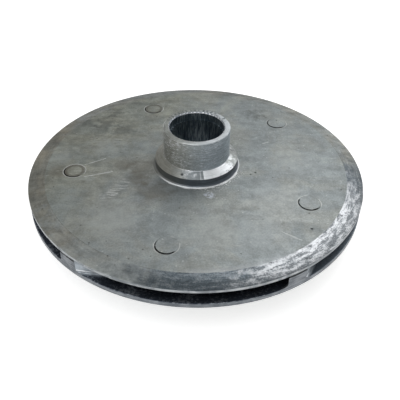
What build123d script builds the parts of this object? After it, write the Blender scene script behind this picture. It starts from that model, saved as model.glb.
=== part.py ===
from build123d import *
import os
from math import acos, atan2, cos, degrees, pi, radians, tan

# Closed centrifugal pump impeller in two light-alloy castings. The hub disc carries the turned, splined
# hub. The vane disc carries the suction neck, the swept vanes and one rivet stud on each vane. The studs
# pass through the hub disc and are peened flush with its face.
# Millimetres. +Z runs up the hub, and the origin is the centre of the suction neck's end face.

# Both discs
impeller_d = 204.0
outlet_width = 7.6           # height of the passages at the rim
inlet_width = 16.0           # height of the passages where the vanes begin

# Vane disc and its suction neck
neck_d = 92.0                # turned land that runs in the casing's wear ring
neck_length = 11.0
neck_chamfer = 1.0
neck_shoulder = 3.0          # conical blend between the neck and the disc
eye_d = 80.0
eye_lip_width = 4.0          # conical lip where the eye opens into the passages
eye_lip_height = 6.0
vane_disc_t = 4.0            # thickness beside the neck
vane_disc_rim_t = 3.1

# Vanes
vane_count = 5
vane_t = 5.0
vane_inlet_d = 88.0
vane_outlet_angle = 25.0     # degrees from the tangent at the rim
vane_inlet_angle = 35.6      # degrees from the tangent where the vanes begin

# Rivet studs, one on a boss of each vane
stud_d = 11.6
stud_inset = 27.4            # from the rim in to the middle of a stud
first_stud_angle = -29.0
stud_clearance = 0.1
stud_head_flare = 0.5        # the peened end fills a countersink of this width and depth
stud_proud = 0.1             # what is left standing once the end is dressed to the slope of the face
boss_d = 16.5
boss_fillet = 3.0

# Hub disc
hub_disc_rim_t = 2.0
bevel_width = 10.0
bevel_rise = 2.0
hub_disc_crown = 1.8         # rise of the face from the bevel to the collar

# Hub
collar_d = 50.4
collar_height = 5.4
collar_bevel_rise = 2.6
collar_foot = 1.0            # conical blend between the collar and the disc
hub_d = 40.0
hub_length = 18.3            # turned length above the collar
hub_chamfer = 0.6
nose_d = 46.0
nose_length = 12.0           # how far the hub stands below the hub disc, in the eye
nose_edge_chamfer = 3.0
nose_flare = 6.0             # conical blend between the nose and the hub disc

# Splined bore
spline_major_d = 32.0
spline_module = 0.8
spline_teeth = 38
spline_pressure_angle = 30.0
spline_reference_offset = 1.1    # modules from the reference diameter to the major diameter
pilot_clearance = 0.2        # the plain pilot above the spline clears the shaft's teeth by this much
pilot_length = 5.0
mouth_chamfer = 1.5
nose_chamfer = 1.0

# Radii
impeller_r = impeller_d / 2
neck_r = neck_d / 2
eye_r = eye_d / 2
vane_inlet_r = vane_inlet_d / 2
collar_r = collar_d / 2
hub_r = hub_d / 2
nose_r = nose_d / 2
stud_r = stud_d / 2
stud_circle_r = impeller_r - stud_inset
boss_r = boss_d / 2
bevel_r = impeller_r - bevel_width
spline_major_r = spline_major_d / 2
spline_minor_r = spline_major_r - spline_module
pilot_r = spline_major_r + pilot_clearance


def passage_width(radius):
    """Height of the water passages, which narrow evenly from the vanes' inlet to the rim."""
    share = (impeller_r - radius) / (impeller_r - vane_inlet_r)
    return outlet_width + share * (inlet_width - outlet_width)


# Heights, built up from the end of the neck
hub_disc_z = neck_length + vane_disc_t + passage_width(neck_r)
hub_disc_rim_z = hub_disc_z + hub_disc_rim_t
bevel_z = hub_disc_rim_z + bevel_rise
collar_z = bevel_z + hub_disc_crown
collar_top_z = collar_z + collar_height
hub_base_z = collar_top_z + collar_bevel_rise
hub_top_z = hub_base_z + hub_length
nose_z = hub_disc_z - nose_length


def floor_z(radius):
    """Height of the vane disc's inner face, the floor of the passages."""
    return hub_disc_z - passage_width(radius)


def hub_disc_face_z(radius):
    """Height of the hub disc's outer face between the bevel and the collar."""
    return bevel_z + hub_disc_crown * (bevel_r - radius) / (bevel_r - collar_r)


def turned(points):
    """Solid of revolution about Z from (radius, height) pairs."""
    outline = Polyline(*[(radius, 0, height) for radius, height in points], close=True)
    return revolve(make_face(outline.edges()), Axis.Z)


def stud_places():
    """One place for each stud, at the height of the neck's end face."""
    return PolarLocations(stud_circle_r, vane_count, start_angle=first_stud_angle)


def flared_post(radius):
    """Post from inside the boss to above the hub disc, which flares evenly from just below its face."""
    foot_z = hub_disc_z - outlet_width / 2
    flare_z = hub_disc_face_z(stud_circle_r) - stud_head_flare
    top_r = radius + collar_z - flare_z
    return turned([(0, foot_z), (radius, foot_z), (radius, flare_z), (top_r, collar_z), (0, collar_z)])


def studs():
    """Rivet studs, peened into the countersinks and dressed to the slope of the hub disc's face."""
    posts = Part() + [place * flared_post(stud_r) for place in stud_places()]
    under_face = turned([(0, 0), (bevel_r, 0), (bevel_r, bevel_z), (collar_r, collar_z), (0, collar_z)])
    return posts & Pos(0, 0, stud_proud) * under_face


def stud_holes():
    """Countersunk holes that take the studs with their clearance all round."""
    return [place * flared_post(stud_r + stud_clearance) for place in stud_places()]


# Hub disc

def hub_disc_blank():
    """Disc, collar, hub and nose, turned in one profile round the bore."""
    return turned([
        (spline_minor_r + nose_chamfer, nose_z),
        (nose_r - nose_edge_chamfer, nose_z),
        (nose_r, nose_z + nose_edge_chamfer),
        (nose_r, hub_disc_z - nose_flare),
        (nose_r + nose_flare, hub_disc_z),
        (impeller_r, hub_disc_z),
        (impeller_r, hub_disc_rim_z),
        (bevel_r, bevel_z),
        (collar_r + collar_foot, hub_disc_face_z(collar_r + collar_foot)),
        (collar_r, collar_z + collar_foot),
        (collar_r, collar_top_z),
        (hub_r, hub_base_z),
        (hub_r, hub_top_z - hub_chamfer),
        (hub_r - hub_chamfer, hub_top_z),
        (pilot_r + mouth_chamfer, hub_top_z),
        (pilot_r, hub_top_z - mouth_chamfer),
        (pilot_r, hub_top_z - pilot_length),
        (spline_minor_r, hub_top_z - pilot_length),
        (spline_minor_r, nose_z + nose_chamfer),
    ])


def spline_grooves():
    """Grooves of the internal spline. Their flanks are straight at the pressure angle."""
    pitch_r = spline_module * spline_teeth / 2
    depth = spline_major_r - spline_minor_r
    shift = spline_major_r - spline_module * (spline_teeth + spline_reference_offset) / 2
    slope = tan(radians(spline_pressure_angle))
    half_at_pitch = spline_module * pi / 4 + shift * slope
    half_at_mouth = half_at_pitch + (pitch_r - spline_minor_r) * slope
    inner_r = spline_minor_r - depth
    half_at_inner = half_at_mouth + depth * slope
    half_at_floor = half_at_mouth - depth * slope
    groove = Polygon(
        (inner_r, -half_at_inner),
        (spline_major_r, -half_at_floor),
        (spline_major_r, half_at_floor),
        (inner_r, half_at_inner),
        align=None,
    )
    ring = Sketch() + [place * groove for place in PolarLocations(0, spline_teeth)]
    return extrude(Pos(0, 0, nose_z) * ring, hub_top_z - pilot_length - nose_z)


def hub_disc():
    """The blank, splined and drilled for the studs."""
    return hub_disc_blank() - spline_grooves() - stud_holes()


# Vane disc

def vane_disc_blank():
    """Disc and suction neck, turned in one profile round the eye."""
    rim_z = floor_z(impeller_r)
    underside_z = rim_z - vane_disc_rim_t
    slope = (underside_z - neck_length) / (impeller_r - neck_r)
    return turned([
        (eye_r, 0),
        (neck_r - neck_chamfer, 0),
        (neck_r, neck_chamfer),
        (neck_r, neck_length - neck_shoulder),
        (neck_r + neck_shoulder, neck_length + slope * neck_shoulder),
        (impeller_r, underside_z),
        (impeller_r, rim_z),
        (eye_r + eye_lip_width, floor_z(eye_r + eye_lip_width)),
        (eye_r, floor_z(eye_r) - eye_lip_height),
    ])


def vane_curve():
    """Middle line of one vane with its tip on +X: one arc that meets the rim and the inlet at their angles.

    Gives its centre, its radius, and a function for the direction from that centre to the arc's point at
    a distance from the impeller's axis.
    """
    run = impeller_r * cos(radians(vane_outlet_angle)) - vane_inlet_r * cos(radians(vane_inlet_angle))
    arc_r = (impeller_r**2 - vane_inlet_r**2) / (2 * run)
    tip = Vector(impeller_r, 0)
    heading = Vector(0, 1).rotate(Axis.Z, vane_outlet_angle)
    centre = tip + heading.rotate(Axis.Z, 90) * arc_r
    offset = centre.length
    to_axis = degrees(atan2(-centre.Y, -centre.X))

    def direction(radius):
        return to_axis - degrees(acos((arc_r**2 + offset**2 - radius**2) / (2 * arc_r * offset)))

    return centre, arc_r, direction


def vane_outline():
    """Plan of one vane with its tip on +X, longer than the rim that it is trimmed to."""
    centre, arc_r, direction = vane_curve()
    start = direction(impeller_r + vane_t)
    end = direction(vane_inlet_r + vane_t / 2)
    return SlotArc(CenterArc(centre, arc_r, start, end - start), vane_t)


def stud_lead():
    """Degrees about the impeller's axis from a vane's tip to the stud on its middle line."""
    centre, arc_r, direction = vane_curve()
    stud = centre + Vector(arc_r, 0).rotate(Axis.Z, direction(stud_circle_r))
    return degrees(atan2(stud.Y, stud.X))


def passage_space():
    """Everything between the middle of the vane disc's wall and the hub disc, out to the rim."""
    rim_z = floor_z(impeller_r) - vane_disc_rim_t / 2
    eye_z = floor_z(eye_r) - vane_disc_t / 2
    points = [(eye_r, eye_z), (impeller_r, rim_z), (impeller_r, hub_disc_z), (eye_r, hub_disc_z)]
    return turned(points)


def vane_plan():
    """Plan of all the vanes, with their bosses blended into their sides."""
    tips = PolarLocations(0, vane_count, start_angle=first_stud_angle - stud_lead())
    plan = Sketch() + [tip * vane_outline() for tip in tips]
    plan += [place * Circle(boss_r) for place in stud_places()]
    studs_at = [place.position for place in stud_places()]
    just_past_boss = boss_r + boss_fillet / 10
    corners = [
        vertex for vertex in plan.vertices()
        if min((Vector(*vertex) - stud_at).length for stud_at in studs_at) < just_past_boss
    ]
    return fillet(corners, boss_fillet)


def vanes():
    """The vanes and their bosses, standing in the vane disc's wall and trimmed to the rim.

    Their flat tops seat on the hub disc.
    """
    return extrude(vane_plan(), hub_disc_z) & passage_space()


def vane_disc():
    """The blank with its vanes, bosses and studs."""
    return vane_disc_blank() + vanes() + studs()


os.makedirs("parts", exist_ok=True)
export_step(hub_disc(), "parts/hub_disc.step")
export_step(vane_disc(), "parts/vane_disc.step")
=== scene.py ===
from math import acos, atan2, cos, pi, radians, sin, tan

import bpy
from mathutils import Color, Matrix, Vector

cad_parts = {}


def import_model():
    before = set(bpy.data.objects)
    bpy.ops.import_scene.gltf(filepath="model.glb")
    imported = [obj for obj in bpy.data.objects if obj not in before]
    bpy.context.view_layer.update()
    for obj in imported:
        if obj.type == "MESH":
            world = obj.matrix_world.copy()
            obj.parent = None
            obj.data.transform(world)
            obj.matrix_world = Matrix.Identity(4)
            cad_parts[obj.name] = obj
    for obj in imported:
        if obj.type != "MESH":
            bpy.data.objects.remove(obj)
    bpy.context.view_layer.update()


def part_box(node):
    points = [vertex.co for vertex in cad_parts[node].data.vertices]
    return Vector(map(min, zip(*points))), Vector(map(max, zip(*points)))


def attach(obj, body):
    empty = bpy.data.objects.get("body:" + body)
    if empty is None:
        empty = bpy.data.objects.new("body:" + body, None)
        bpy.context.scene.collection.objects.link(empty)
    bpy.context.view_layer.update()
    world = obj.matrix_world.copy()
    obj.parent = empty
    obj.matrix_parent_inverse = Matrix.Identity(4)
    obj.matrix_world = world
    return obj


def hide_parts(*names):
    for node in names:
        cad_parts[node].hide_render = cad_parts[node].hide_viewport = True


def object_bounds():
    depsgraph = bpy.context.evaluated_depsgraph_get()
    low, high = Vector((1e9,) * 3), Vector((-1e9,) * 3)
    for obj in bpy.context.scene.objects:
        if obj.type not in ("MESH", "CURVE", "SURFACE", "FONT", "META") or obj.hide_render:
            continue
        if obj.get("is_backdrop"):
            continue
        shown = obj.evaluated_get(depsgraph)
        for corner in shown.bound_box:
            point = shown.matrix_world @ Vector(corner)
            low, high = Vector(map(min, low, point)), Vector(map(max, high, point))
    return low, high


# A closed centrifugal pump impeller in two castings. Lengths are in millimetres until a finished mesh is
# scaled to metres. The hub runs up +Z from the end face of the suction neck.

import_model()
MM = 0.001

# Both castings
IMPELLER_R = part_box("vane_disc")[1].x / MM
TOP_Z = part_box("hub_disc")[1].z / MM
NOSE_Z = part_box("hub_disc")[0].z / MM
OUTLET_WIDTH = 7.6
INLET_WIDTH = 16.0
VANE_INLET_R = 44.0

# Hub disc
NOSE_LENGTH = 12.0
NOSE_R = 23.0
NOSE_EDGE = 3.0
NOSE_FLARE = 6.0
RIM_T = 2.0
BEVEL_WIDTH = 10.0
BEVEL_RISE = 2.0
CROWN = 1.8
COLLAR_R = 25.2
COLLAR_HEIGHT = 5.4
COLLAR_RISE = 2.6
COLLAR_FOOT = 1.0
HUB_R = 20.0
HUB_CHAMFER = 0.6
MOUTH_CHAMFER = 0.6
MOUTH_NOTCHES = 44
PILOT_R = 16.2
PILOT_LENGTH = 5.0
SPLINE_R = 15.2
SPLINE_DEPTH = 0.8
SPLINE_TEETH = 38
SPLINE_GROOVE_MOUTH = 0.84
SPLINE_GROOVE_FLOOR = 0.37
NOSE_CHAMFER = 1.0

# Vane disc
NECK_R = 46.0
NECK_LENGTH = 11.0
NECK_CHAMFER = 1.0
NECK_SHOULDER = 3.0
EYE_R = 40.0
EYE_LIP_WIDTH = 4.0
EYE_LIP_HEIGHT = 6.0
VANE_DISC_RIM_T = 3.1

# Vanes and studs
VANES = 5
VANE_T = 5.0
VANE_SEAM = 0.35             # open seam over a vane's top
VANE_EDGE = 0.3              # bevel along a vane's top
VANE_ROOT = 1.8              # fillet at a vane's foot
VANE_ROOT_SUNK = 0.02        # how far that fillet's toe lies under the floor
VANE_BEDDING = 1.6           # how far a vane's foot stands in the disc
TRIM_GAP = 0.01              # how far inside the rim the vanes end
OUTLET_ANGLE = radians(25.0)
INLET_ANGLE = radians(35.6)
STUD_R = 5.8
STUD_GAP = 0.1
STUD_FLARE = 0.5
STUD_CIRCLE_R = IMPELLER_R - 27.4
STUD_PROUD = 0.12
STUD_SLOPE = 0.012           # how far out of true each head was dressed
STUD_SEED = 3
FIRST_STUD = radians(-29.0)
BOSS_R = 8.25
BOSS_BEDDING = 0.4

HUB_DISC_Z = NOSE_Z + NOSE_LENGTH
STUD_FOOT_Z = HUB_DISC_Z - OUTLET_WIDTH / 2
RIM_Z = HUB_DISC_Z + RIM_T
BEVEL_R = IMPELLER_R - BEVEL_WIDTH
BEVEL_Z = RIM_Z + BEVEL_RISE
COLLAR_Z = BEVEL_Z + CROWN
COLLAR_TOP_Z = COLLAR_Z + COLLAR_HEIGHT
HUB_BASE_Z = COLLAR_TOP_Z + COLLAR_RISE
MOUTH_Z = TOP_Z - MOUTH_CHAMFER
PILOT_Z = TOP_Z - PILOT_LENGTH

# Facets, and how finely curves are divided
HUB_DISC_SEGMENTS = SPLINE_TEETH * 12
VANE_DISC_SEGMENTS = 384
POST_SEGMENTS = 72
CORNER_STEPS = 4
VANE_STATIONS = 64
VANE_NOSE_STEPS = 6
VANE_ROOT_STEPS = 6
CRISP_EDGE = radians(28.0)
SAME_POINT = 0.001

# Studio. Lengths here are in metres.
LENS = 50.48
CAMERA_ELEVATION = 38.93
CAMERA_ROLL = 1.06
CAMERA_AIM = (0.00268, 0.0, 0.00674)
CAMERA_DISTANCE = 0.36652
WHITE = (1.0, 1.0, 1.0, 1.0)
FLOOR_COLOUR = (0.9, 0.9, 0.9, 1.0)
FLOOR_GLOW = 0.6
FLOOR_REACH = 6.0
WORLD_STRENGTH = 0.45

# How each stretch of surface was finished, in the order of the material list
FACE, SKIN, BEVEL, RIM, HUB, COLLAR, BORE, PASSAGE, VANE, NECK = range(10)

# Headings across the hub disc, as shares of x and y
BEVEL_HIGHLIGHT_HEADING = (cos(radians(-42.0)), sin(radians(-42.0)))
SHEEN_HEADING = (0.26, -0.966)
SHADED_CREASE_HEADING = (-0.72, -0.69)
STUD_SHADED_SIDE = (-0.5, -0.85)

# Socket places on the Mix and Random Value nodes, where names repeat
MIX_FACTOR, MIX_A, MIX_B, MIX_RESULT = 0, 6, 7, 2
RANDOM_MIN, RANDOM_MAX, RANDOM_SEED, RANDOM_RESULT = 2, 3, 8, 1


# Node trees

class Wire:
    """An output socket. Arithmetic on it adds Math nodes to its tree."""

    def __init__(self, net, socket):
        self.net = net
        self.socket = socket

    def out(self, name):
        """Another output of the same node."""
        return Wire(self.net, self.socket.node.outputs[name])

    def __add__(self, other):
        return self.net.math("ADD", self, other)

    def __sub__(self, other):
        return self.net.math("SUBTRACT", self, other)

    def __rsub__(self, other):
        return self.net.math("SUBTRACT", other, self)

    def __mul__(self, other):
        return self.net.math("MULTIPLY", self, other)

    def __truediv__(self, other):
        return self.net.math("DIVIDE", self, other)

    def __rtruediv__(self, other):
        return self.net.math("DIVIDE", other, self)

    __radd__ = __add__
    __rmul__ = __mul__


class Net:
    """A shader or Geometry Nodes tree while it is being built."""

    def __init__(self, tree):
        self.tree = tree

    def node(self, kind, inputs=None, **settings):
        """Adds a node, with its settings first and then its inputs. Gives its first output."""
        made = self.tree.nodes.new(kind)
        for name, value in settings.items():
            setattr(made, name, value)
        self.feed(made, inputs or {})
        return Wire(self, made.outputs[0])

    def feed(self, node, inputs):
        """Sets or links a node's inputs."""
        for name, value in inputs.items():
            socket = node.inputs[name]
            if isinstance(value, Wire):
                self.tree.links.new(value.socket, socket)
            else:
                socket.default_value = value

    def math(self, operation, *values, clamp=False):
        inputs = dict(enumerate(values))
        return self.node("ShaderNodeMath", inputs, operation=operation, use_clamp=clamp)

    def fade(self, value, low, high, into=(0.0, 1.0)):
        """Smooth step from low to high, spread over the range given by into."""
        first, last = into
        inputs = {"Value": value, "From Min": low, "From Max": high, "To Min": first, "To Max": last}
        return self.node("ShaderNodeMapRange", inputs, interpolation_type="SMOOTHSTEP")

    def blend(self, factor, a, b, how="MIX"):
        """Mixes two colours."""
        inputs = {MIX_FACTOR: factor, MIX_A: a, MIX_B: b}
        return self.node("ShaderNodeMix", inputs, data_type="RGBA", blend_type=how).out(MIX_RESULT)

    def vector(self, operation, *values):
        return self.node("ShaderNodeVectorMath", dict(enumerate(values)), operation=operation)

    def parts(self, vector):
        """The three components of a vector."""
        split = self.node("ShaderNodeSeparateXYZ", {0: vector})
        return split, split.out("Y"), split.out("Z")

    def join(self, x, y, z):
        """A vector from its three components."""
        return self.node("ShaderNodeCombineXYZ", {0: x, 1: y, 2: z})

    def noise(self, vector, scale, detail=3.0, roughness=0.5, distortion=0.0):
        return self.node("ShaderNodeTexNoise", {
            "Vector": vector,
            "Scale": scale,
            "Detail": detail,
            "Roughness": roughness,
            "Distortion": distortion,
        })


class GeometryNet(Net):
    """A Geometry Nodes tree with named inputs."""

    def __init__(self, name):
        super().__init__(bpy.data.node_groups.new(name, "GeometryNodeTree"))
        self.interface = self.tree.interface
        for side in ("INPUT", "OUTPUT"):
            self.interface.new_socket("Geometry", in_out=side, socket_type="NodeSocketGeometry")
        self.entry = self.node("NodeGroupInput")

    def ask(self, name, kind="Float"):
        """A new named input of the tree."""
        self.interface.new_socket(name, in_out="INPUT", socket_type="NodeSocket" + kind)
        return self.entry.out(name)

    def finish(self, geometry):
        """Links the tree's result."""
        self.feed(self.tree.nodes.new("NodeGroupOutput"), {"Geometry": geometry})

    def attribute(self, name, kind="FLOAT"):
        """A value that the mesh carries under this name."""
        return self.node("GeometryNodeInputNamedAttribute", {"Name": name}, data_type=kind)

    def sample(self, geometry, value, index, kind="FLOAT"):
        """The value that a point of the geometry has."""
        inputs = {"Geometry": geometry, "Value": value, "Index": index}
        return self.node("GeometryNodeSampleIndex", inputs, data_type=kind, domain="POINT")

    def copies(self, geometry, count, first_angle, radius=0.0, spin_seed=None):
        """Copies evenly round the axis, each spun about its own middle if a seed is given."""
        turn = self.node("GeometryNodeInputIndex") * (2 * pi) / count + first_angle
        place = self.join(radius * self.math("COSINE", turn), radius * self.math("SINE", turn), 0.0)
        points = self.node("GeometryNodePoints", {"Count": count, "Position": place})
        if spin_seed is not None:
            inputs = {RANDOM_MIN: 0.0, RANDOM_MAX: 2 * pi, RANDOM_SEED: spin_seed}
            spin = self.node("FunctionNodeRandomValue", inputs, data_type="FLOAT")
            turn = turn + spin.out(RANDOM_RESULT)
        inputs = {"Points": points, "Instance": geometry, "Rotation": self.join(0.0, 0.0, turn)}
        placed = self.node("GeometryNodeInstanceOnPoints", inputs)
        return self.node("GeometryNodeRealizeInstances", {"Geometry": placed})

    def object(self, name):
        """The mesh of another object, which is a new named input."""
        return self.node("GeometryNodeObjectInfo", {"Object": self.ask(name, "Object")}).out("Geometry")

    def smooth(self, mesh):
        """Smooth shading, with sharp edges kept crisp."""
        soft = self.math("LESS_THAN", self.node("GeometryNodeInputMeshEdgeAngle"), CRISP_EDGE)
        for domain, chosen in (("FACE", True), ("EDGE", soft)):
            inputs = {"Geometry": mesh, "Shade Smooth": chosen}
            mesh = self.node("GeometryNodeSetShadeSmooth", inputs, domain=domain)
        return mesh


def new_object(name, data):
    """A new object in the scene."""
    made = bpy.data.objects.new(name, data)
    bpy.context.scene.collection.objects.link(made)
    return made


def grown(net, name, source, **values):
    """Runs a Geometry Nodes tree on a mesh and gives the result as a plain mesh object."""
    holder = new_object(name, source)
    modifier = holder.modifiers.new(name, "NODES")
    modifier.node_group = net.tree
    for item in net.interface.items_tree:
        if item.in_out == "INPUT" and item.name in values:
            modifier[item.identifier] = values[item.name]
    depsgraph = bpy.context.evaluated_depsgraph_get()
    mesh = bpy.data.meshes.new_from_object(holder.evaluated_get(depsgraph), depsgraph=depsgraph)
    holder.modifiers.remove(modifier)
    holder.data = mesh
    bpy.data.meshes.remove(source)
    return holder


# Profiles

def rounded(corners, stretch):
    """Closed profile from (r, z, corner radius, finish, groove depth) corners.

    Finish and groove depth hold from a corner to the next one. Long stretches are divided.
    """
    stops = []
    for index, (r, z, radius, finish, groove) in enumerate(corners):
        here = Vector((r, z))
        before = Vector(corners[index - 1][:2])
        after = Vector(corners[(index + 1) % len(corners)][:2])
        arc = [here]
        if radius:
            to_before = (before - here).normalized()
            to_after = (after - here).normalized()
            half = to_before.angle(to_after) / 2
            centre = here + (to_before + to_after).normalized() * radius / sin(half)
            first = here + to_before * radius / tan(half) - centre
            last = here + to_after * radius / tan(half) - centre
            sweep = first.angle_signed(last)
            turns = [-sweep * step / CORNER_STEPS for step in range(CORNER_STEPS + 1)]
            arc = [centre + Matrix.Rotation(turn, 2) @ first for turn in turns]
        stops += [(place, finish, groove) for place in arc]
    points, marks, depths = [], [], []
    for index, (place, finish, groove) in enumerate(stops):
        after = stops[(index + 1) % len(stops)][0]
        pieces = max(1, round((after - place).length / stretch))
        for piece in range(pieces):
            points.append(place.lerp(after, piece / pieces))
            marks.append(finish)
            depths.append(groove)
    return points, marks, depths


def mark(mesh, name, kind, domain, values):
    """Stores values on a mesh under a name."""
    mesh.attributes.new(name, kind, domain).data.foreach_set("value", values)


def profile_mesh(name, corners, stretch=6.0):
    """A profile as loose points with their finish and groove depth, and the first repeated last."""
    points, marks, depths = rounded(corners, stretch)
    mesh = bpy.data.meshes.new(name)
    mesh.from_pydata([(p.x, 0.0, p.y) for p in points + points[:1]], [], [])
    mark(mesh, "finish", "INT", "POINT", marks + marks[:1])
    mark(mesh, "groove", "FLOAT", "POINT", depths + depths[:1])
    return mesh


def lathe(net, profile, segments):
    """Turns a profile about Z, with the spline's grooves where the profile asks for them.

    The grid's points and faces run row by row, and half a step keeps each index in its own row.
    """
    rows = net.node("GeometryNodeAttributeDomainSize", {"Geometry": profile}, component="MESH")
    grid = net.node("GeometryNodeMeshGrid", {"Vertices X": rows, "Vertices Y": segments + 1})
    index = net.node("GeometryNodeInputIndex")
    row = net.math("FLOOR", (index + 0.5) / (segments + 1))
    column = index - row * (segments + 1)
    place = net.sample(profile, net.node("GeometryNodeInputPosition"), row, "FLOAT_VECTOR")
    groove = net.sample(profile, net.attribute("groove"), row)
    angle = column * (2 * pi) / segments
    tooth = net.math("FRACT", angle * (SPLINE_TEETH / (2 * pi)) + 0.5)
    off_middle = net.math("ABSOLUTE", tooth - 0.5) * (2 * pi * SPLINE_R / SPLINE_TEETH)
    share = (SPLINE_GROOVE_MOUTH - off_middle) / (SPLINE_GROOVE_MOUTH - SPLINE_GROOVE_FLOOR)
    share = net.math("MINIMUM", net.math("MAXIMUM", share, 0.0), 1.0)
    r, _, z = net.parts(place)
    r = r + groove * share
    where = net.join(r * net.math("COSINE", angle), r * net.math("SINE", angle), z)
    turned = net.node("GeometryNodeSetPosition", {"Geometry": grid, "Position": where})
    face_row = net.math("FLOOR", (index + 0.5) / segments)
    finish = net.sample(profile, net.attribute("finish", "INT"), face_row, "INT")
    inputs = {"Geometry": turned, "Name": "finish", "Value": finish}
    marked = net.node("GeometryNodeStoreNamedAttribute", inputs, data_type="INT", domain="FACE")
    merged = net.node("GeometryNodeMergeByDistance", {"Geometry": marked, "Distance": SAME_POINT})
    return net.node("GeometryNodeFlipFaces", {"Mesh": merged})


def painted(net, mesh, materials):
    """Gives each finish its material."""
    tolerance = 0.1
    for number, material in enumerate(materials):
        chosen = net.math("COMPARE", net.attribute("finish", "INT"), number, tolerance)
        inputs = {"Geometry": mesh, "Selection": chosen, "Material": material}
        mesh = net.node("GeometryNodeSetMaterial", inputs)
    return mesh


# Castings

def passage_width(r):
    """Height of the water passages, which narrow evenly from the vanes' inlet to the rim."""
    share = (IMPELLER_R - r) / (IMPELLER_R - VANE_INLET_R)
    return OUTLET_WIDTH + share * (INLET_WIDTH - OUTLET_WIDTH)


def floor_z(r):
    """Height of the vane disc's inner face, the floor of the passages."""
    return HUB_DISC_Z - passage_width(r)


def face_z(r):
    """Height of the hub disc's outer face between the bevel and the collar."""
    return BEVEL_Z + CROWN * (BEVEL_R - r) / (BEVEL_R - COLLAR_R)


def hub_disc_profile():
    """Disc, collar, hub and nose in one profile round the bore."""
    foot_r = COLLAR_R + COLLAR_FOOT
    return profile_mesh("hub_disc_profile", [
        (SPLINE_R + NOSE_CHAMFER, NOSE_Z, 0.1, NECK, 0.0),
        (NOSE_R - NOSE_EDGE, NOSE_Z, 0.4, NECK, 0.0),
        (NOSE_R, NOSE_Z + NOSE_EDGE, 0.8, PASSAGE, 0.0),
        (NOSE_R, HUB_DISC_Z - NOSE_FLARE, 4.0, PASSAGE, 0.0),
        (NOSE_R + NOSE_FLARE, HUB_DISC_Z, 4.0, PASSAGE, 0.0),
        (IMPELLER_R, HUB_DISC_Z, 0.2, RIM, 0.0),
        (IMPELLER_R, RIM_Z, 0.35, BEVEL, 0.0),
        (BEVEL_R, BEVEL_Z, 1.2, FACE, 0.0),
        (foot_r, face_z(foot_r), 0.9, COLLAR, 0.0),
        (COLLAR_R, COLLAR_Z + COLLAR_FOOT, 0.6, COLLAR, 0.0),
        (COLLAR_R, COLLAR_TOP_Z, 0.2, COLLAR, 0.0),
        (HUB_R, HUB_BASE_Z, 0.4, HUB, 0.0),
        (HUB_R, TOP_Z - HUB_CHAMFER, 0.12, HUB, 0.0),
        (HUB_R - HUB_CHAMFER, TOP_Z, 0.12, HUB, 0.0),
        (PILOT_R + MOUTH_CHAMFER, TOP_Z, 0.1, BORE, 0.0),
        (PILOT_R, MOUTH_Z, 0.1, BORE, 0.0),
        (PILOT_R, PILOT_Z, 0.0, BORE, 0.0),
        (SPLINE_R, PILOT_Z, 0.0, BORE, SPLINE_DEPTH),
        (SPLINE_R, NOSE_Z + NOSE_CHAMFER, 0.0, NECK, SPLINE_DEPTH),
    ])


def vane_disc_profile():
    """Disc and suction neck in one profile round the eye."""
    rim_z = floor_z(IMPELLER_R)
    under_z = rim_z - VANE_DISC_RIM_T
    slope = (under_z - NECK_LENGTH) / (IMPELLER_R - NECK_R)
    lip_r = EYE_R + EYE_LIP_WIDTH
    return profile_mesh("vane_disc_profile", [
        (EYE_R, 0.0, 0.3, NECK, 0.0),
        (NECK_R - NECK_CHAMFER, 0.0, 0.2, NECK, 0.0),
        (NECK_R, NECK_CHAMFER, 0.2, NECK, 0.0),
        (NECK_R, NECK_LENGTH - NECK_SHOULDER, 1.5, SKIN, 0.0),
        (NECK_R + NECK_SHOULDER, NECK_LENGTH + slope * NECK_SHOULDER, 2.0, SKIN, 0.0),
        (IMPELLER_R, under_z, 0.35, RIM, 0.0),
        (IMPELLER_R, rim_z, 0.25, PASSAGE, 0.0),
        (lip_r, floor_z(lip_r), 4.0, PASSAGE, 0.0),
        (EYE_R, floor_z(EYE_R) - EYE_LIP_HEIGHT, 4.0, NECK, 0.0),
    ])


def post_profile(name, radius, foot_z, head_z):
    """A round post, which flares from just under the hub disc's face if it reaches that far."""
    flare_z = min(head_z, face_z(STUD_CIRCLE_R) - STUD_FLARE)
    return profile_mesh(name, [
        (0.0, foot_z, 0.0, PASSAGE, 0.0),
        (radius, foot_z, 0.0, PASSAGE, 0.0),
        (radius, flare_z, 0.0, FACE, 0.0),
        (radius + head_z - flare_z, head_z, 0.0, FACE, 0.0),
        (0.0, head_z, 0.0, FACE, 0.0),
    ], stretch=2.0)


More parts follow.
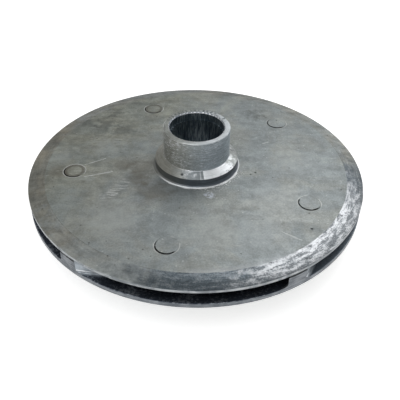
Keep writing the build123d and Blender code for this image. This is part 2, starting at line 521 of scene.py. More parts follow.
def vane_mesh():
    """One vane with its tip on +X, and the angle from its tip to its stud."""
    run = IMPELLER_R * cos(OUTLET_ANGLE) - VANE_INLET_R * cos(INLET_ANGLE)
    arc_r = (IMPELLER_R**2 - VANE_INLET_R**2) / (2 * run)
    heading = Vector((-sin(OUTLET_ANGLE), cos(OUTLET_ANGLE)))
    centre = Vector((IMPELLER_R, 0.0)) + arc_r * Vector((-heading.y, heading.x))
    offset = centre.length
    to_axis = atan2(-centre.y, -centre.x)
    half = VANE_T / 2
    top = HUB_DISC_Z - VANE_SEAM

    def direction(radius, lateral=0.0):
        """Direction from the arc's centre to where a line beside the middle line has this radius."""
        r = arc_r + lateral
        return to_axis - acos((r**2 + offset**2 - radius**2) / (2 * r * offset))

    # Section across the vane: how far each point lies beside the middle line, whether it belongs to the
    # top, and its height above the floor or the top
    side = [(half + VANE_ROOT, -VANE_BEDDING)]
    for step in range(VANE_ROOT_STEPS, -1, -1):
        a = radians(90 / VANE_ROOT_STEPS * step)
        side.append((half + VANE_ROOT * (1 - cos(a)), VANE_ROOT * (1 - sin(a)) - VANE_ROOT_SUNK))
    section = [(u, False, rise) for u, rise in side]
    section += [(half, True, -VANE_EDGE), (half - VANE_EDGE, True, 0.0)]
    section += [(-u, on_top, rise) for u, on_top, rise in reversed(section)]

    # The section is carried from past the rim to the inlet, and then turned in to close the nose
    end = direction(VANE_INLET_R + half)
    past_rim = IMPELLER_R + half
    rows = []
    for station in range(VANE_STATIONS + VANE_NOSE_STEPS + 1):
        row = []
        for u, on_top, rise in section:
            share = min(station / VANE_STATIONS, 1.0)
            turn = max(0, station - VANE_STATIONS) / VANE_NOSE_STEPS * pi / 2
            lateral = u * cos(turn)
            start = direction(past_rim, lateral)
            angle = start + share * (end - start) + half * sin(turn) / arc_r
            place = centre + (arc_r + lateral) * Vector((cos(angle), sin(angle)))
            level = top if on_top else floor_z(place.length)
            row.append((place.x, place.y, level + rise))
        rows.append(row)
    wide = len(section)
    points = [point for row in rows for point in row]
    faces = [
        (a * wide + b, (a + 1) * wide + b, (a + 1) * wide + (b + 1) % wide, a * wide + (b + 1) % wide)
        for a in range(len(rows) - 1) for b in range(wide)
    ]
    sides = len(faces)

    # Both ends are closed across the vane
    last = (len(rows) - 1) * wide
    for b in range(wide // 2 - 1):
        mirror = wide - 1 - b
        faces.append((b + 1, mirror - 1, mirror, b))
        faces.append((last + b, last + mirror, last + mirror - 1, last + b + 1))
    mesh = bpy.data.meshes.new("vane")
    mesh.from_pydata(points, [], faces)
    mark(mesh, "finish", "INT", "FACE", [VANE] * sides + [RIM] * (len(faces) - sides))
    at_stud = direction(STUD_CIRCLE_R)
    stud = centre + arc_r * Vector((cos(at_stud), sin(at_stud)))
    return mesh, atan2(stud.y, stud.x)


def passage_room(segments):
    """The room inside the rim that the vanes are cut back to, as a ring between the discs.

    It is turned by half a step, so that none of its edges lies on an edge of the disc's rim.
    """
    outer_r = IMPELLER_R - TRIM_GAP
    profile = profile_mesh("passage_room", [
        (EYE_R, NECK_LENGTH, 0.0, RIM, 0.0),
        (outer_r, NECK_LENGTH, 0.0, RIM, 0.0),
        (outer_r, HUB_DISC_Z, 0.0, RIM, 0.0),
        (EYE_R, HUB_DISC_Z, 0.0, RIM, 0.0),
    ])
    net = GeometryNet("passage_room")
    steps = net.ask("Segments", "Int")
    half_step = net.join(0.0, 0.0, pi / steps)
    ring = lathe(net, net.entry, steps)
    net.finish(net.node("GeometryNodeTransform", {"Geometry": ring, "Rotation": half_step}))
    return grown(net, "passage_room", profile, Segments=segments)


def boolean(net, operation, *meshes):
    """Union or common part of closed meshes, or the first one less the others."""
    made = net.node("GeometryNodeMeshBoolean", operation=operation, solver="MANIFOLD")
    sockets = made.socket.node.inputs
    if operation == "DIFFERENCE":
        net.tree.links.new(meshes[0].socket, sockets["Mesh 1"])
        meshes = meshes[1:]
    for mesh in meshes:
        net.tree.links.new(mesh.socket, sockets["Mesh 2"])
    return made


def stud_post(name, radius, foot_z, head_z, slope=0.0):
    """A post round the Z axis, its head dressed a little out of true."""
    net = GeometryNet(name)
    post = lathe(net, net.entry, net.ask("Segments", "Int"))
    x, _, z = net.parts(net.node("GeometryNodeInputPosition"))
    on_head = net.math("GREATER_THAN", z, RIM_Z)
    lift = net.join(0.0, 0.0, on_head * x * net.ask("Slope"))
    net.finish(net.node("GeometryNodeSetPosition", {"Geometry": post, "Offset": lift}))
    profile = post_profile(name, radius, foot_z, head_z)
    return grown(net, name, profile, Segments=POST_SEGMENTS, Slope=slope)


def hub_disc(materials):
    """The hub disc: turned, splined, and drilled for the studs."""
    net = GeometryNet("hub_disc")
    segments, studs, first = net.ask("Segments", "Int"), net.ask("Studs", "Int"), net.ask("First Stud")
    drills = net.copies(net.object("Drill"), studs, first, STUD_CIRCLE_R)
    bored = boolean(net, "DIFFERENCE", lathe(net, net.entry, segments), drills)
    net.finish(painted(net, net.smooth(bored), materials))
    drill = stud_post("drill", STUD_R + STUD_GAP, STUD_FOOT_Z, COLLAR_Z)
    values = {"Segments": HUB_DISC_SEGMENTS, "Studs": VANES, "First Stud": FIRST_STUD, "Drill": drill}
    made = grown(net, "hub_disc_casting", hub_disc_profile(), **values)
    bpy.data.objects.remove(drill)
    return made


def vane_disc(materials):
    """The vane disc with its neck, vanes, bosses and studs."""
    mesh, lead = vane_mesh()
    vane = new_object("vane", mesh)
    boss_foot_z = floor_z(STUD_CIRCLE_R - BOSS_R) - BOSS_BEDDING
    boss = stud_post("boss", BOSS_R, boss_foot_z, HUB_DISC_Z - VANE_SEAM)
    stud = stud_post("stud", STUD_R, STUD_FOOT_Z, face_z(STUD_CIRCLE_R) + STUD_PROUD, STUD_SLOPE)
    room = passage_room(VANE_DISC_SEGMENTS)

    net = GeometryNet("vane_disc")
    segments, count = net.ask("Segments", "Int"), net.ask("Vanes", "Int")
    first_stud, first_tip = net.ask("First Stud"), net.ask("First Tip")
    vanes = net.copies(net.object("Vane"), count, first_tip)
    vanes = boolean(net, "INTERSECT", vanes, net.object("Room"))
    bosses = net.copies(net.object("Boss"), count, first_stud, STUD_CIRCLE_R)
    studs = net.copies(net.object("Stud"), count, first_stud, STUD_CIRCLE_R, spin_seed=STUD_SEED)

    # The studs' heads are dressed to the slope of the hub disc's face
    x, y, z = net.parts(net.node("GeometryNodeInputPosition"))
    outwards = net.math("SQRT", x * x + y * y) - STUD_CIRCLE_R
    on_head = net.math("GREATER_THAN", z, RIM_Z)
    dressed = net.join(0.0, 0.0, on_head * outwards * -CROWN / (BEVEL_R - COLLAR_R))
    studs = net.node("GeometryNodeSetPosition", {"Geometry": studs, "Offset": dressed})

    joined = boolean(net, "UNION", lathe(net, net.entry, segments), vanes, bosses, studs)
    net.finish(painted(net, net.smooth(joined), materials))

    values = {"Segments": VANE_DISC_SEGMENTS, "Vanes": VANES}
    values |= {"First Stud": FIRST_STUD, "First Tip": FIRST_STUD - lead}
    values |= {"Vane": vane, "Boss": boss, "Stud": stud, "Room": room}
    made = grown(net, "vane_disc_casting", vane_disc_profile(), **values)
    for tool in (vane, boss, stud, room):
        bpy.data.objects.remove(tool)
    return made


# Finishes

def shade(red, green, blue):
    """A colour from the numbers that a picture editor shows."""
    colour = Color((red / 255, green / 255, blue / 255)).from_srgb_to_scene_linear()
    return (*colour, 1.0)


class Surface(Net):
    """The material of one finish, patterned on the pieces' own coordinates. Sizes are in millimetres."""

    def __init__(self, name):
        self.material = bpy.data.materials.new(name)
        self.material.use_nodes = True
        super().__init__(self.material.node_tree)
        self.place = self.scaled(self.node("ShaderNodeTexCoord").out("Object"), 1 / MM)
        self.x, self.y, self.z = self.parts(self.place)
        self.flat = self.join(self.x, self.y, 0.0)
        self.r = self.math("SQRT", self.x * self.x + self.y * self.y)
        self.wander = self.grain(5.0, detail=4.0, roughness=0.6) - 0.5

    def scaled(self, vector, factor):
        """A vector made longer or shorter."""
        return self.node("ShaderNodeVectorMath", {0: vector, "Scale": factor}, operation="SCALE")

    def grain(self, size, detail=3.0, roughness=0.5, distortion=0.0):
        """Noise with features about this large."""
        return self.noise(self.place, 1 / size, detail, roughness, distortion)

    def wiped(self, size, length, heading, detail=4.0):
        """Noise drawn out along a heading on the disc, as a cloth or a runner of metal leaves it."""
        drawn = self.node("ShaderNodeMapping", {
            "Vector": self.place,
            "Rotation": (0.0, 0.0, -radians(heading)),
            "Scale": (size / length, 1.0, 1.0),
        })
        return self.noise(drawn, 1 / size, detail, 0.6, 0.4)

    def towards(self, heading):
        """1 where a place lies this way from the axis, and -1 where it lies opposite."""
        return (self.x * heading[0] + self.y * heading[1]) / self.r

    def around(self, turns, across, detail=3.0, roughness=0.5):
        """Noise that varies round the axis, and with a value across it."""
        place = self.join(self.x / self.r * turns, self.y / self.r * turns, across)
        return self.noise(place, 1.0, detail, roughness)

    def streaks(self, pitch, turns, detail=3.0):
        """Noise drawn out round the axis, with this pitch across its streaks."""
        return self.around(turns, (self.r - self.z) / pitch, detail)

    def flecks(self, size, share, shift=0.0):
        """Small spots in a share of the cells of this size."""
        cells = self.node("ShaderNodeTexVoronoi", {
            "Vector": self.vector("ADD", self.place, (shift, shift, shift)),
            "Scale": 1 / size,
        })
        chosen = self.math("LESS_THAN", self.parts(cells.out("Color"))[0], share)
        return self.fade(cells, 0.34, 0.14) * chosen

    def band(self, value, low, high, soft):
        """1 between low and high."""
        return self.fade(value, low - soft, low + soft) * self.fade(value, high + soft, high - soft)

    def spot(self, x, y, reach, soft, ragged=0.0):
        """1 about a place on the disc, out to about this reach."""
        away = self.vector("DISTANCE", self.flat, (x, y, 0.0)).out("Value") + self.wander * ragged
        return self.fade(away, reach + soft, reach - soft)

    def stroke(self, start, end, width, ragged=0.0):
        """1 along a straight mark on the disc."""
        line = Vector((*end, 0.0)) - Vector((*start, 0.0))
        offset = self.vector("SUBTRACT", self.flat, (*start, 0.0))
        passed = self.vector("DOT_PRODUCT", offset, line).out("Value")
        along = self.math("MULTIPLY", passed, 1 / line.length_squared, clamp=True)
        away = self.vector("DISTANCE", offset, self.scaled(line, along)).out("Value")
        return self.fade(away + self.wander * ragged, width, width / 3)

    def dim(self, colour, level):
        """Multiplies a colour by a level or a tint."""
        return self.blend(1.0, colour, level, "MULTIPLY")

    def finish(self, colour, roughness, metallic, height):
        """Links the looks. Height is in millimetres."""
        bump = self.node("ShaderNodeBump", {"Height": height, "Distance": MM, "Strength": 1.0})
        looks = {"Base Color": colour, "Roughness": roughness, "Metallic": metallic, "Normal": bump}
        self.feed(self.tree.nodes["Principled BSDF"], looks)
        return self.material


def cast_skin(s, cool, warm, unrest):
    """Cloudy grey skin that the mould leaves: its colour, roughness and height.

    Unrest says how strongly it varies, as a number or as a value over the surface.
    """
    clouds = s.grain(30.0, 5.0, 0.6, 0.6)
    wiped = s.wiped(6.0, 20.0, 18.0)
    mottle = s.grain(6.0, 5.0, 0.62, 0.4)
    fine = s.grain(1.0, 3.0, 0.65)
    cloudy = s.grain(17.0, 5.0, 0.62, 0.5) + wiped + mottle - 1.5
    colour = s.blend(s.fade(clouds, 0.4, 0.6), cool, warm)
    colour = s.dim(colour, 1 + cloudy * unrest)
    colour = s.dim(colour, s.fade(fine, 0.25, 0.75, (0.88, 1.12)))
    colour = s.blend(s.flecks(1.6, 0.04, 7.0) * 0.5, colour, shade(205, 208, 208))
    pits = s.flecks(2.2, 0.03)
    colour = s.blend(pits * 0.6, colour, shade(62, 62, 60))
    roughness = s.fade(mottle + (fine - 0.5) * 0.6, 0.25, 0.75, (0.62, 0.48))
    height = mottle * 0.07 + wiped * 0.05 + fine * 0.03 - pits * 0.06
    return colour, roughness, height


def stud_ring(s):
    """How far a place is from the middle of the nearest stud, and how far it lies to the side with
    painted shade.
    """
    turn = s.math("ARCTAN2", s.y, s.x) - FIRST_STUD
    half_pitch = pi / VANES
    stud_turn = turn - s.math("WRAP", turn, half_pitch, -half_pitch) + FIRST_STUD
    off_x = s.x - STUD_CIRCLE_R * s.math("COSINE", stud_turn)
    off_y = s.y - STUD_CIRCLE_R * s.math("SINE", stud_turn)
    away = s.math("SQRT", off_x * off_x + off_y * off_y)
    return away, (off_x * STUD_SHADED_SIDE[0] + off_y * STUD_SHADED_SIDE[1]) / away


# Marks on the hub disc's face, as x, y and reach
BROWN_STAINS = ((-31, -6, 8), (-24, -29, 9), (-36, -18, 6), (-84, -9, 5), (-44, -3, 5))
DARK_BLOTCHES = ((-74, 50, 5), (-62, 46, 6), (-50, 38, 5), (-57, 62, 5), (40, 62, 5))
PALE_PATCHES = (
    (-46, -52, 13), (6, -62, 14), (34, -62, 15), (48, -34, 16), (60, 4, 14), (-58, 18, 9), (-84, 6, 7),
)
GLINT = (8.2, -32.5, 2.6)
ROUND_PIT = (63.6, -57.9, 0.7)
CAST_PITS = ((33, -11, 0.8), (36, -9, 0.5))

# Straight marks there, each from one place to another
SCUFF = ((-51, -33), (-42, -21))
FLOW_LINES = (((-69, -3), (-57, 4)), ((-67, -15), (-51, -10)))
FINE_SCRATCH = ((43, 24), (47, 26))
BROAD_SCRATCH = ((47, -61), (57, -67))

# A pit in the collar's cone
CONE_PIT = (-8.0, -21.5, COLLAR_TOP_Z + 1.0)


def disc_face():
    """The hub disc's face and the stud ends in it: cast skin with the marks that it came with, and
    painted shade and highlights.
    """
    s = Surface("as_cast_face")
    # Left and back of the face: a warmer tint and painted shade, with stronger mottling
    tarnish_and_shade = s.fade(s.y * 0.55 - s.x + s.wander * 60 + (s.grain(38.0) - 0.5) * 60, 5, 85)
    unrest = 0.5 + tarnish_and_shade * 0.45
    colour, roughness, height = cast_skin(s, shade(145, 152, 153), shade(153, 157, 154), unrest)
    colour = s.blend(tarnish_and_shade * 0.8, colour, s.dim(colour, shade(240, 236, 222)))

    # Stains and blotches, and a painted glint
    for x, y, reach in BROWN_STAINS:
        colour = s.blend(s.spot(x, y, reach, 6, 24) * 0.45, colour, shade(96, 90, 78))
    for x, y, reach in DARK_BLOTCHES:
        colour = s.blend(s.spot(x, y, reach, 4, 30) * 0.5, colour, shade(78, 82, 80))
    for x, y, reach in PALE_PATCHES:
        colour = s.blend(s.spot(x, y, reach, 8, 26) * 0.35, colour, shade(176, 182, 182))
    glint = s.spot(*GLINT, 0.8, 7.0) * s.fade(s.grain(1.3, 4.0, 0.7), 0.4, 0.58)
    colour = s.blend(glint * 0.85, colour, shade(206, 212, 222))

    # Bright crust and spatter at the collar's foot, partly a painted highlight where the foot catches
    # the light
    sparkle = s.grain(1.1, 4.0, 0.7)
    crust_and_highlight = s.fade(s.r + s.wander * 2, COLLAR_R + 1.7, COLLAR_R + 1.3)
    crust_and_highlight = crust_and_highlight * s.fade(s.y + s.wander * 16, -2, -12)
    crust_and_highlight = crust_and_highlight * s.fade(sparkle, 0.36, 0.56, (0.7, 1.0))
    crust_and_highlight = crust_and_highlight * s.fade(s.x + s.wander * 12, -26, -14, (0.1, 1.0))
    spatter = s.fade(s.r + s.wander * 10, COLLAR_R + 6, COLLAR_R + 2) * s.fade(sparkle, 0.52, 0.6)
    spatter = spatter * s.fade(s.y + s.wander * 16, -4, -14) * s.fade(s.x + s.wander * 24, -2, 10)
    crust_and_highlight = s.math("MAXIMUM", crust_and_highlight, spatter * 0.8)
    colour = s.blend(crust_and_highlight, colour, shade(248, 250, 252))

    # Painted sheen on the face beside the brightest turning
    painted_sheen = s.fade(s.r + s.wander * 6, 87, 92.5) * s.fade(s.towards(SHEEN_HEADING), 0.93, 0.99)
    colour = s.blend(painted_sheen * 0.4, colour, shade(188, 192, 196))

    # Marks of the flow and of handling
    scuff = s.stroke(*SCUFF, 5, 8) * s.fade(s.wiped(0.9, 7.0, 48.0), 0.5, 0.62)
    flows = s.stroke(*FLOW_LINES[0], 0.6, 2) + s.stroke(*FLOW_LINES[1], 0.6, 2)
    scratches = s.stroke(*FINE_SCRATCH, 0.5) + s.stroke(*BROAD_SCRATCH, 0.5, 2.5) * 0.6
    dents = s.fade(s.wiped(1.3, 7.0, 24.0), 0.57, 0.66) * s.fade(s.grain(20.0, 3.0), 0.46, 0.6) * tarnish_and_shade
    light = s.math("MINIMUM", scuff * 0.9 + flows * 0.75 + scratches * 0.6 + dents * 0.34, 1.0)
    colour = s.blend(light, colour, shade(200, 203, 202))
    pits = s.spot(*ROUND_PIT, 0.3) + s.spot(*CAST_PITS[0], 0.5, 2) + s.spot(*CAST_PITS[1], 0.3, 2)
    colour = s.blend(pits * 0.8, colour, shade(40, 42, 42))

    # Studs: a dark joint round each, widened by painted shade on the side away from the light
    away, to_shaded_side = stud_ring(s)
    edge = away + s.wander * 0.5
    shaded_side = s.fade(to_shaded_side + s.wander * 3.0, -0.3, 0.6)
    joint = STUD_R + STUD_FLARE + STUD_GAP / 2
    tight = s.band(edge, joint - 0.12, joint + 0.12, 0.12)
    wide = s.band(edge, joint - 0.55, joint + 0.25, 0.12)
    tight = tight * s.fade(s.grain(7.0), 0.4, 0.6, (0.1, 0.45))
    joint_and_shade = s.math("MAXIMUM", tight, wide * shaded_side)
    # A painted highlight on the lip round each stud
    lip_highlight = s.band(edge, joint + 0.15, joint + 0.75, 0.2) * s.fade(s.grain(9.0), 0.42, 0.54)
    grime = s.band(edge, STUD_R - 1.4, STUD_R + 0.2, 0.5) * tarnish_and_shade
    colour = s.blend(grime * 0.6, colour, shade(84, 79, 70))
    colour = s.blend(lip_highlight * (0.5 + tarnish_and_shade * 0.35), colour, shade(206, 208, 206))
    colour = s.blend(joint_and_shade * 0.97, colour, shade(14, 14, 13))
    height = height - joint_and_shade * 0.12 - pits * 0.2 + light * 0.2 + crust_and_highlight * 0.12
    return s.finish(colour, roughness - light * 0.12, 0.75 - crust_and_highlight * 0.6, height)


def disc_skin():
    """The vane disc's underside."""
    s = Surface("as_cast_skin")
    colour, roughness, height = cast_skin(s, shade(128, 134, 136), shade(132, 134, 130), 0.8)
    return s.finish(colour, roughness, 0.75, height)


def turned_bevel():
    """Bevel of the hub disc: turned, with a painted highlight on one side and cast skin left on the
    other.
    """
    s = Surface("turned_bevel")
    rings = s.streaks(0.4, 14.0, 5.0)
    wide_rings = s.streaks(1.6, 9.0, 4.0)
    patches = s.streaks(2.6, 15.0, 5.0)
    sparkle = s.grain(0.9, 3.0, 0.7)
    facing = s.towards(BEVEL_HIGHLIGHT_HEADING)
    bevel_highlight = s.fade(facing + s.wander * 0.4, 0.74, 0.98)
    mix = rings * 0.2 + wide_rings * 0.2 + patches * 0.35 + sparkle * 0.25

    # Slate grey metal, with a painted highlight on one side and towards the inner edge, and brighter
    # where it has been worn
    inner = s.fade(s.r + s.wander * 9, 99, 93)
    slate = s.dim(shade(90, 99, 105), s.fade(mix, 0.36, 0.64, (0.78, 1.24)))
    slate = s.dim(slate, 0.86 + inner * 0.5)
    metal = s.blend(bevel_highlight * 0.9, slate, shade(130, 135, 139))
    metal = s.dim(metal, s.fade(sparkle, 0.3, 0.7, (0.86, 1.14)))
    worn = s.fade(mix + bevel_highlight * 0.03 + inner * 0.04, 0.49, 0.6)
    metal = s.blend(worn * (0.16 + bevel_highlight * 0.66), metal, shade(212, 215, 218))
    metal = s.dim(metal, s.fade(s.r + s.wander * 4, 95, 101, (1.0, 0.86)))

    # Cast skin where the lathe has left it
    skin, skin_rough, skin_height = cast_skin(s, shade(150, 155, 154), shade(158, 159, 153), 0.9)
    # Painted shade darkens the skin towards the back; on the left it is warmer and darker, tint and
    # painted shade
    skin = s.dim(skin, s.fade(s.y + s.wander * 30, 40, 90, (1.0, 0.87)))
    skin = s.blend(s.fade(s.x + s.wander * 60, -66, -92), skin, s.dim(skin, shade(236, 230, 220)))
    skin = s.dim(skin, s.fade(wide_rings, 0.35, 0.65, (0.93, 1.07)))
    turned_side = s.fade(facing - s.y / s.r * 0.25 + s.wander * 0.5, 0.45, 0.85)
    colour = s.blend(turned_side, skin, metal)

    # Nicks in the metal, and painted shade in the crease at the bevel's inner edge
    torn = s.fade(s.wiped(1.2, 4.0, -75.0), 0.58, 0.66) * s.fade(s.grain(11.0), 0.46, 0.58)
    nicks = s.math("MAXIMUM", s.flecks(1.5, 0.07, 3.0) * s.fade(s.grain(9.0), 0.5, 0.6), torn)
    nicks = nicks * s.fade(facing, 0.3, 0.8)
    ragged = s.fade(s.r + s.wander * 5, 98, 95) * s.fade(facing, 0.5, 0.7)
    ragged = ragged * s.fade(s.y + s.wander * 30, -40, -14)
    nicks = s.math("MAXIMUM", nicks, ragged * s.fade(sparkle, 0.52, 0.6))
    colour = s.blend(nicks * 0.7, colour, shade(60, 62, 66))
    crease_shade = s.band(s.r + s.wander * 0.3, BEVEL_R - 0.1, BEVEL_R + 0.2, 0.16)
    shaded_crease = s.fade(s.towards(SHADED_CREASE_HEADING), 0.93, 0.98)
    crease_shade = crease_shade * s.math("MAXIMUM", s.fade(s.grain(24.0), 0.42, 0.6), shaded_crease)
    colour = s.blend(crease_shade * 0.8, colour, shade(48, 40, 34))

    cast_side = 1 - turned_side
    rough = s.fade(mix, 0.4, 0.6, (0.52, 0.34)) * turned_side + skin_rough * cast_side
    height = rings * 0.03 + wide_rings * 0.04 + patches * 0.05 + skin_height * cast_side - crease_shade * 0.1
    return s.finish(colour, rough, 0.9, height)


def worn_turning(s, pitch, turns):
    """Fine rings from the lathe, patches over them, and where both have been worn bright."""
    rings = s.streaks(pitch, turns, 4.0)
    patches = s.grain(10.0, 4.0, 0.6, 0.8)
    worn = s.fade(patches + (rings - 0.5) * 0.9, 0.4, 0.62)
    return rings, patches, worn


def turned_roughness(s, rings, patches, dull, bright):
    """Roughness of turned metal, from its dull rings to its bright ones."""
    return s.fade(rings + (patches - 0.5) * 0.5, 0.3, 0.7, (dull, bright))


def turned_neck():
    """The suction neck: evenly turned, with duller and brighter patches."""
    s = Surface("turned_neck")
    rings, patches, worn = worn_turning(s, 0.4, 3.0)
    colour = s.blend(worn, shade(150, 152, 152), shade(186, 188, 188))
    return s.finish(colour, turned_roughness(s, rings, patches, 0.5, 0.33), 1.0, rings * 0.03)


def turned_rim():
    """The rims and the vanes' tips, turned together, with painted shadow in the open seam over each tip.
    """
    s = Surface("turned_rim")
    rings, patches, worn = worn_turning(s, 0.3, 9.0)
    upper = s.fade(s.z, HUB_DISC_Z - 0.4, HUB_DISC_Z)
    colour = s.blend(worn, shade(100, 105, 110), shade(132, 136, 140))
    colour = s.blend(upper, colour, s.blend(worn, shade(124, 129, 133), shade(168, 172, 174)))
    # Painted shadow in the open seam over the vanes' tops
    seam_shadow = s.band(s.z + s.wander * 0.9, HUB_DISC_Z - 1.15, HUB_DISC_Z + 0.02, 0.12)
    colour = s.blend(seam_shadow * 0.95, colour, shade(14, 15, 17))
    rough = turned_roughness(s, rings, patches, 0.56, 0.4)
    return s.finish(colour, rough, 1.0, rings * 0.03 - seam_shadow * 0.1)


def mouth_notches(s):
    """Ragged radial notches that the splining tool left round the mouth."""
    turn = s.math("ARCTAN2", s.y, s.x)
    ragged = s.around(9, 0.0, 3.0, 0.7)
    beat = s.math("FRACT", turn * (MOUTH_NOTCHES / (2 * pi)) + ragged * 2 + s.wander * 0.8)
    return s.band(beat, 0.4, 0.8, 0.12) * s.fade(ragged + s.wander * 2, 0.26, 0.44)


def turned_hub():
    """The shaft end of the hub: fine even rings, with brighter flecks where the tool tore the metal."""
    s = Surface("turned_hub")
    rings = s.streaks(0.34, 3.5, 3.0)
    flicks = s.streaks(0.45, 10.0, 4.0)
    patches = s.grain(7.0, 4.0, 0.6, 0.5)
    colour = s.blend(s.fade(s.x + s.wander * 12, -14, 8), shade(176, 177, 171), shade(175, 184, 191))
    colour = s.dim(colour, s.fade(rings, 0.3, 0.7, (0.78, 1.22)))
    colour = s.dim(colour, s.fade(s.grain(0.8, 3.0, 0.65), 0.3, 0.7, (0.86, 1.14)))
    # Painted shade on the tube's far left
    colour = s.dim(colour, s.fade(s.x + s.wander * 10, -21, -9, (0.78, 1.0)))
    rough_patch = s.fade(patches, 0.44, 0.56) * s.fade(s.x, 2, -7)
    torn = s.fade(flicks + rough_patch * 0.1, 0.58, 0.68)
    colour = s.blend(torn * 0.75, colour, shade(240, 242, 246))

    # End face, notched round the mouth
    end = s.fade(s.z, TOP_Z - 0.5, TOP_Z - 0.1)
    lit = s.fade(s.x - s.y * 0.3 + s.wander * 12, -8, 14)
    ring = s.blend(lit, shade(152, 156, 152), shade(208, 213, 216))
    ring = s.dim(ring, s.fade(patches + (rings - 0.5) * 0.5, 0.35, 0.65, (0.82, 1.1)))
    ring = s.blend(mouth_notches(s) * s.fade(s.y, 2, 11) * 0.9, ring, shade(70, 80, 84))
    colour = s.blend(end * 0.85, colour, ring)
    under_edge = s.band(s.z, TOP_Z - 1.1, TOP_Z - 0.6, 0.2)
    colour = s.dim(colour, 1 - under_edge * 0.3)
    rough = turned_roughness(s, rings, patches, 0.5, 0.36)
    return s.finish(colour, rough, 1.0, rings * 0.03 + torn * 0.03)


def turned_collar():
    """The collar: a satin cone with a painted highlight on its right, a dark wall below it, and a foot
    painted bright.
    """
    s = Surface("turned_collar")
    rings = s.streaks(0.5, 2.0, 4.0)
    patches = s.grain(3.2, 5.0, 0.65, 0.6)
    left = s.fade(s.x + s.wander * 14, 0, -20)

    # Cone, with a painted highlight on its right, a scar and a pit
    wiped = s.around(7, 0.0, 3.0, 0.6)
    cone_highlight = s.fade(s.x + (wiped - 0.5) * 36, 2, 6)
    cone = s.blend(cone_highlight, shade(132, 138, 141), shade(240, 244, 247))
    far_side = s.fade(s.y + s.wander * 14, -13, -7) * cone_highlight
    far_cone = s.dim(shade(168, 173, 172), s.fade(patches, 0.35, 0.65, (0.82, 1.2)))
    cone = s.blend(far_side, cone, far_cone)
    cone = s.blend(s.fade(patches, 0.5, 0.62) * s.fade(s.x, -12, -2) * 0.5, cone, shade(216, 219, 222))
    cone = s.blend(left * 0.9, cone, shade(150, 150, 141))
    cone = s.dim(cone, s.fade(rings + (patches - 0.5) * 0.8, 0.3, 0.7, (0.82, 1.12)))
    scar = s.fade(patches, 0.52, 0.6) * s.fade(s.x, 12, 18)
    scar = scar * s.fade(s.z, COLLAR_TOP_Z + 1.0, COLLAR_TOP_Z + 0.3)
    cone = s.blend(scar * 0.7, cone, shade(84, 88, 90))
    to_pit = s.vector("DISTANCE", s.place, CONE_PIT).out("Value")
    pit = s.fade(to_pit + s.wander, 1.2, 0.5)
    cone = s.blend(pit * 0.85, cone, shade(40, 42, 44))

    # Wall, and the foot painted bright as a highlight that fades on the far left
    wall = s.dim(shade(104, 111, 119), s.fade(rings + (patches - 0.5) * 0.4, 0.3, 0.7, (0.8, 1.18)))
    wall = s.blend(left, wall, shade(122, 124, 122))
    sparkle = s.fade(s.grain(1.1, 4.0, 0.7), 0.4, 0.62)
    foot_highlight = s.blend(sparkle * s.fade(s.x, 0, 12), shade(226, 230, 232), shade(250, 252, 252))
    foot_highlight = s.blend(s.fade(s.x + s.wander * 10, -16, -25), foot_highlight, shade(112, 114, 108))

    on_cone = s.fade(s.z, COLLAR_TOP_Z - 0.15, COLLAR_TOP_Z + 0.05)
    on_foot = s.fade(s.z + s.wander * 0.3, COLLAR_Z + 0.45, COLLAR_Z + 0.2)
    colour = s.blend(on_foot, s.blend(on_cone, wall, cone), foot_highlight)
    crust_and_highlight = on_foot * sparkle * s.fade(s.x, 0, 12)
    rough = turned_roughness(s, rings, patches, 0.44, 0.3)
    return s.finish(colour, rough, 1.0 - on_foot * 0.5, rings * 0.03 + patches * 0.04 + crust_and_highlight * 0.2)


def bore_skin():
    """The broached bore: dark, with streaks along the splines and a notched mouth."""
    s = Surface("broached_bore")
    drawn = s.around(26, s.z / 6, 4.0, 0.7)
    broad = s.around(5, s.z / 14, 2.0)
    streak = s.fade(drawn + (broad - 0.5) * 0.5, 0.42, 0.72)
    colour = s.blend(streak, shade(88, 101, 110), shade(176, 187, 192))
    # Painted shade along the step at the foot of the pilot
    step = s.band(s.z, PILOT_Z - 0.1, PILOT_Z + 0.1, 0.05)
    colour = s.dim(colour, 1 - step * 0.2)
    mouth = s.fade(s.z, MOUTH_Z - 0.1, MOUTH_Z + 0.1)
    notch = mouth_notches(s)
    colour = s.blend(mouth, colour, s.blend(notch, shade(128, 136, 146), shade(226, 230, 233)))
    # A painted highlight along the mouth's edge
    lip_highlight = s.band(s.z + s.wander * 0.2, MOUTH_Z - 0.1, MOUTH_Z + 0.2, 0.1)
    colour = s.blend(lip_highlight * s.fade(broad, 0.4, 0.6) * 0.8, colour, shade(230, 233, 235))
    rough = s.fade(drawn, 0.3, 0.7, (0.55, 0.38))
    return s.finish(colour, rough, 0.95, drawn * 0.08 + notch * mouth * 0.1)


def passage_skin():
    """The water passages: rough, darkened deep inside by painted shade, lighter towards the rim."""
    s = Surface("passage_skin")
    mottle = s.grain(1.6, 5.0, 0.68)
    patches = s.grain(14.0, 3.0)
    nearer_rim = s.fade(s.r + (patches - 0.5) * 12, 90, 104)
    smooth = s.fade(s.x, 45, 70)
    # Painted shade deep in the passages; more even and smoother towards +x
    deep = s.blend(s.fade(mottle, 0.35, 0.7), shade(36, 42, 50), shade(74, 81, 90))
    deep = s.blend(smooth, deep, shade(98, 108, 120))
    washed = s.fade(mottle + (patches - 0.5) * 0.4, 0.45, 0.68)
    outer = s.blend(washed, shade(72, 80, 92), shade(170, 177, 184))
    outer = s.blend(smooth * 0.8, outer, shade(132, 141, 150))
    colour = s.blend(nearer_rim, deep, outer)
    rough = s.fade(mottle, 0.3, 0.7, (0.62, 0.45))
    return s.finish(colour, rough, 0.85, mottle * (0.3 - smooth * 0.2))


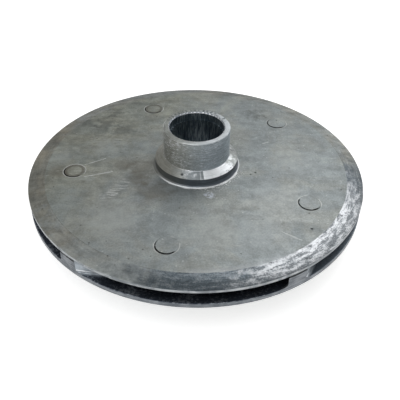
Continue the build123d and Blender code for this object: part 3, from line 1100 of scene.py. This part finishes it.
def vane_skin():
    """The vanes' sides: cast smooth, darkened deep in by painted shade, lighter towards their tips."""
    s = Surface("vane_skin")
    mottle = s.grain(2.5, 4.0, 0.6)
    patches = s.grain(12.0, 3.0)
    washed = s.fade(s.r + (patches - 0.5) * 10, 82, 96)
    colour = s.blend(washed, shade(84, 93, 104), shade(150, 157, 163))
    colour = s.dim(colour, s.fade(mottle, 0.3, 0.7, (0.86, 1.14)))
    root_z = floor_z(IMPELLER_R) + VANE_ROOT
    # Painted shadow above the root, and a painted highlight along the root's fillet
    shadow = s.band(s.z + (s.r - 96) * 0.12, root_z - 0.1, root_z + 1.6, 0.5)
    colour = s.dim(colour, 1 - shadow * s.fade(s.r, 97, 92) * 0.5)
    line = s.band(s.z, root_z - 0.9, root_z - 0.4, 0.2) * s.fade(s.r, 86, 93)
    colour = s.blend(line * 0.9, colour, shade(240, 243, 246))
    rough = s.fade(mottle, 0.3, 0.7, (0.5, 0.4))
    return s.finish(colour, rough, 0.9, mottle * 0.06)


MATERIALS = [
    disc_face(), disc_skin(), turned_bevel(), turned_rim(), turned_hub(),
    turned_collar(), bore_skin(), passage_skin(), vane_skin(), turned_neck(),
]


# Pieces

for piece, node in ((hub_disc(MATERIALS), "hub_disc"), (vane_disc(MATERIALS), "vane_disc")):
    piece.data.transform(Matrix.Scale(MM, 4))
    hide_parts(node)
    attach(piece, "root")


# Floor, light and camera

def floor():
    """Pale floor whose glow lights nothing, clear from below."""
    mesh = bpy.data.meshes.new("floor")
    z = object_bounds()[0].z
    corners = [(-1, -1), (1, -1), (1, 1), (-1, 1)]
    mesh.from_pydata([(x * FLOOR_REACH, y * FLOOR_REACH, z) for x, y in corners], [], [(0, 1, 2, 3)])
    material = bpy.data.materials.new("floor")
    material.use_nodes = True
    net = Net(material.node_tree)

    # Only camera, mirror and transmission rays see the glow
    path = net.node("ShaderNodeLightPath")
    seen = net.math("MAXIMUM", path.out("Is Camera Ray"), path.out("Is Glossy Ray"))
    seen = net.math("MAXIMUM", seen, path.out("Is Transmission Ray"))
    shader = net.tree.nodes["Principled BSDF"]
    net.feed(shader, {
        "Base Color": FLOOR_COLOUR,
        "Roughness": 1.0,
        "Emission Color": WHITE,
        "Emission Strength": seen * FLOOR_GLOW,
    })
    behind = net.node("ShaderNodeNewGeometry").out("Backfacing")
    above = Wire(net, shader.outputs["BSDF"])
    below = net.node("ShaderNodeBsdfTransparent")
    open_below = net.node("ShaderNodeMixShader", {0: behind, 1: above, 2: below})
    net.feed(net.tree.nodes["Material Output"], {"Surface": open_below})
    mesh.materials.append(material)
    made = new_object("floor", mesh)
    made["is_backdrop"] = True


def area_lamp(name, azimuth, elevation, distance, size, watts):
    """Soft round light that faces the impeller. Azimuth 0 is on +Y and 90 on +X."""
    a, e = radians(azimuth), radians(elevation)
    towards = Vector((sin(a) * cos(e), cos(a) * cos(e), sin(e)))
    light = bpy.data.lights.new(name, "AREA")
    light.shape = "DISK"
    light.size = size
    light.energy = watts
    lamp = new_object(name, light)
    lamp.location = towards * distance
    lamp.rotation_mode = "QUATERNION"
    lamp.rotation_quaternion = towards.to_track_quat("Z", "Y")


def world():
    """Even white light from all round."""
    made = bpy.data.worlds.new("studio")
    made.use_nodes = True
    net = Net(made.node_tree)
    net.feed(net.tree.nodes["Background"], {"Color": WHITE, "Strength": WORLD_STRENGTH})
    bpy.context.scene.world = made


def camera():
    """Looks down at the hub side, turned a little about the line of sight."""
    data = bpy.data.cameras.new("camera")
    data.lens = LENS
    made = new_object("camera", data)
    e = radians(CAMERA_ELEVATION)
    back = Vector((0.0, -cos(e), sin(e)))
    made.location = Vector(CAMERA_AIM) + back * CAMERA_DISTANCE
    made.rotation_mode = "QUATERNION"
    turn = Matrix.Rotation(radians(CAMERA_ROLL), 3, back)
    made.rotation_quaternion = (turn @ back.to_track_quat("Z", "Y").to_matrix()).to_quaternion()
    bpy.context.scene.camera = made


camera()
floor()
world()
area_lamp("key", azimuth=34.0, elevation=52.0, distance=0.9, size=0.6, watts=1.8)
area_lamp("edge", azimuth=48.0, elevation=24.0, distance=1.0, size=0.35, watts=0.45)
area_lamp("fill", azimuth=-150.0, elevation=60.0, distance=1.2, size=1.2, watts=4.0)
bpy.context.scene.view_settings.view_transform = "Standard"
